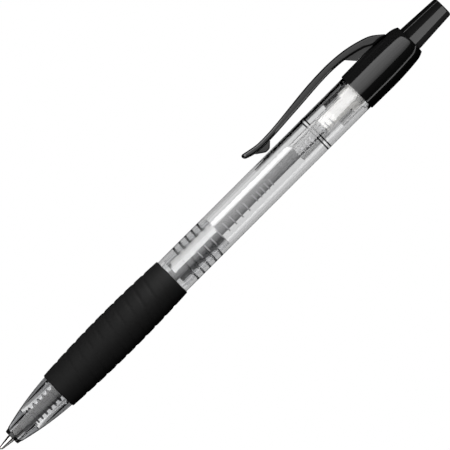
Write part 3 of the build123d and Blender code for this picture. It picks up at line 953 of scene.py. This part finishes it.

# %% [markdown]
# The return spring is a wire wound on a helix. Its first and last turns lie close
# together, as on a real spring, and the turns between are evenly open. The mesh is a
# small circle carried along that path. When the button is pushed the refill moves and
# the spring is squeezed, but this coil rides on no body and keeps the length it is built at.

# %% return spring
WIRE = 0.42
COIL_RADIUS = 1.99
OPEN_PITCH = 1.44
CLOSED_TURNS = 1.0
CLOSE_PITCH = WIRE * 1.03
SIDES = 10
STEPS_PER_TURN = 28
SPRING_FROM = 250.0  # angle at which the wire starts
x_spring_start, x_spring_end = stations("return_spring")
open_run = x_spring_end - x_spring_start - WIRE - 2 * CLOSED_TURNS * CLOSE_PITCH
TURNS = 2 * CLOSED_TURNS + open_run / OPEN_PITCH


def spring_station(turns):
    """Station of the wire's middle after some turns."""
    closed = min(turns, CLOSED_TURNS) + max(0.0, turns - (TURNS - CLOSED_TURNS))
    return x_spring_start + WIRE / 2 + closed * CLOSE_PITCH + (turns - closed) * OPEN_PITCH


spring_mesh = bpy.data.meshes.new("spring_coil")
work = bmesh.new()
loops = []
count = int(TURNS * STEPS_PER_TURN)
for step in range(count + 1):
    turns = TURNS * step / count
    angle = SPRING_FROM + 360 * turns
    loop = []
    for side in range(SIDES):
        around = 2 * pi * side / SIDES
        station = spring_station(turns) + WIRE / 2 * sin(around)
        loop.append(work.verts.new(place(station, COIL_RADIUS + WIRE / 2 * cos(around), angle)))
    loops.append(loop)
for before, after in zip(loops, loops[1:]):
    for side in range(SIDES):
        far = (side + 1) % SIDES
        work.faces.new((before[side], before[far], after[far], after[side]))
work.faces.new(loops[0])
work.faces.new(loops[-1])
bmesh.ops.recalc_face_normals(work, faces=work.faces)
work.to_mesh(spring_mesh)
work.free()
return_spring = linked("spring_coil", spring_mesh, None, spring_steel)
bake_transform(return_spring)
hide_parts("return_spring")
print(f"spring: {TURNS:.1f} turns")

# %% [markdown]
# The pocket clip is one springy arm. From the side it is a long flat curve that rises
# from the cap, runs along the barrel and flicks up at its tip, so it is lofted: at each
# station the arm is a rectangle with rounded corners, as tall as the gap between its
# two side curves and as wide as the clip there. The curves are smooth lines through a
# few heights above the cap.

# %% clip curves
x_heel = x_cap_end - 3.10
BACK = [(-43.7, 3.59), (-39.6, 2.81), (-37.4, 2.70), (-33.3, 2.90), (-22.1, 4.05), (-16.6, 4.32),
        (-12.9, 4.24), (-9.2, 3.82), (-5.5, 2.94), (-2.7, 1.84), (0, -0.32)]
BELLY = [(-43.7, 2.34), (-41.0, 1.48), (-36.9, 1.23), (-26.8, 1.80), (-16.8, 2.44), (-11.0, 2.15),
         (-5.9, 0.97), (-3.7, -0.10), (-1.8, -0.22), (0, -0.38)]


def along(curve, x):
    """Height of a smooth line through (x, height) points, by cubic pieces with shared slopes."""
    slopes = []
    for number in range(len(curve)):
        first = curve[max(number - 1, 0)]
        last = curve[min(number + 1, len(curve) - 1)]
        slopes.append((last[1] - first[1]) / (last[0] - first[0]))
    for number in range(len(curve) - 1):
        (x0, y0), (x1, y1) = curve[number], curve[number + 1]
        if x <= x1:
            run = x1 - x0
            t = min(1.0, max(0.0, (x - x0) / run))
            level = y0 * (1 + 2 * t) * (1 - t) ** 2 + y1 * t * t * (3 - 2 * t)
            lean = slopes[number] * t * (1 - t) ** 2 - slopes[number + 1] * t * t * (1 - t)
            return level + run * lean
    return curve[-1][1]


# %% clip arm
CLIP_LENGTH = 43.7
CLIP_ROOT_WIDTH = 5.6
CLIP_TIP_WIDTH = 4.4
CLIP_TIP_ROUND = 1.2
CLIP_EDGE = 0.60
ARM_STEPS = 150


def arm_section(x):
    """Rounded rectangle of the arm at x from the heel, as (height, side) points."""
    top = CAP_FULL + along(BACK, x)
    bottom = CAP_FULL + along(BELLY, x)
    half = (CLIP_ROOT_WIDTH + (CLIP_TIP_WIDTH - CLIP_ROOT_WIDTH) * -x / CLIP_LENGTH) / 2
    from_tip = x + CLIP_LENGTH
    if from_tip < CLIP_TIP_ROUND:
        inset = CLIP_TIP_ROUND - from_tip
        half -= CLIP_TIP_ROUND - sqrt(max(0.0, CLIP_TIP_ROUND**2 - inset**2))
    soft = max(0.0, CLIP_EDGE - from_tip)
    top -= CLIP_EDGE - sqrt(CLIP_EDGE**2 - soft**2)
    bottom += CLIP_EDGE - sqrt(CLIP_EDGE**2 - soft**2)
    edge = max(0.01, min(CLIP_EDGE, (top - bottom) * 0.45))
    points = []
    for quarter in range(4):
        middle_height = top - edge if quarter in (0, 3) else bottom + edge
        middle_side = half - edge if quarter < 2 else edge - half
        for step in range(6):
            angle = radians(90 * quarter + 18 * step)
            points.append((middle_height + edge * cos(angle), middle_side + edge * sin(angle)))
    return points


def lofted(name, sections, body, material):
    """A piece skinned over rings of points, closed by a face at each end."""
    mesh = bpy.data.meshes.new(name)
    work = bmesh.new()
    rings = [[work.verts.new(spot) for spot in section] for section in sections]
    for before, after in zip(rings, rings[1:]):
        for side in range(len(before)):
            far = (side + 1) % len(before)
            work.faces.new((before[side], before[far], after[far], after[side]))
    work.faces.new(rings[0])
    work.faces.new(rings[-1])
    bmesh.ops.recalc_face_normals(work, faces=work.faces)
    work.to_mesh(mesh)
    work.free()
    return linked(name, mesh, body, material)


ARM_END = -0.2
CROWDING = 1.5  # puts more of the sections near the tip, where the arm is most curved
arm_sections = []
for step in range(ARM_STEPS + 1):
    x = -CLIP_LENGTH + (CLIP_LENGTH + ARM_END) * (step / ARM_STEPS) ** CROWDING
    foot = place(x_heel + x, 0)
    arm_sections.append([foot + Vector((0, high, side)) * MM for high, side in arm_section(x)])
clip_arm = lofted("clip_arm", arm_sections, "clip", black_satin)
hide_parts("pocket_clip")

# %% [markdown]
# Under the arm are two small features. Near the tip a blunt nub holds the cloth of a
# pocket against the barrel, and at the root a thin web stiffens the arm. From the side
# the nub is wide at the arm and slopes to a short rounded foot, and its face towards
# the cap is steeper. It is a flat outline given a thickness and rounded edges, and the
# web is made the same way.

# %% clip nub and web
EDGE_STEPS = 4


def plate(name, outline, half, edge):
    """A plate under the clip from (x, height) corners over the cap, with rounded edges."""
    mesh = bpy.data.meshes.new(name)
    work = bmesh.new()
    spots = [place(x_heel + x, CAP_FULL + high) - Vector((0, 0, half * MM)) for x, high in outline]
    face = work.faces.new([work.verts.new(spot) for spot in spots])
    grown = bmesh.ops.extrude_face_region(work, geom=[face])
    raised = [spot for spot in grown["geom"] if isinstance(spot, bmesh.types.BMVert)]
    bmesh.ops.translate(work, verts=raised, vec=(0, 0, 2 * half * MM))
    bmesh.ops.recalc_face_normals(work, faces=work.faces)
    bmesh.ops.bevel(work, geom=work.edges[:], offset=edge * MM, segments=EDGE_STEPS,
                    affect="EDGES", profile=0.5)
    work.to_mesh(mesh)
    work.free()
    made = linked(name, mesh, "clip", black_satin)
    return made


NUB = [(-40.75, 1.75), (-41.1, 1.42), (-38.9, -0.10), (-37.7, -0.10), (-36.2, 1.30), (-36.5, 1.75)]
clip_nub = plate("clip_nub", NUB, 1.6, 0.35)
WEB = [(-10.9, 2.10), (-9.05, 0.0), (-6.5, 0.0), (-4.0, -0.08), (-2.0, -0.20), (-2.0, 0.6),
       (-4.7, 1.3), (-7.0, 1.9), (-9.05, 2.3)]
clip_web = plate("clip_web", WEB, 1.0, 0.06)

# %% [markdown]
# Clear plastic hardly dims the light that passes through it. A path tracer would have to
# find that light by chance, through two bent faces, and the inside of the pen would turn
# grainy. So the clear pieces cast no shadow, and the boxes light the refill, the spring
# and the cam directly.

# %% clear pieces let light through
clear_pieces = (rear_barrel, front_barrel, refill_holder, cam_sleeve, cap_collar)
for piece in clear_pieces:
    piece.visible_shadow = False
print("pieces without a shadow:", len(clear_pieces))

# %% [markdown]
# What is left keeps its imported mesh, because its shape is already right: the small
# ball, the collar that the spring pushes on, the two cam parts, and what is sealed in
# the refill. Each gets its finish in its material slots.

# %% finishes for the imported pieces
kept = {
    "tip_ball": ball_metal,
    "cam_rotor": white_plastic,
    "cam_plunger": white_plastic,
    "spring_collar": white_plastic,
    "ink_column": ink,
    "grease_plug": grease,
}
for name, material in kept.items():
    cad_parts[name].material_slots[0].material = material
print("packed pieces with new finishes:", len(kept))
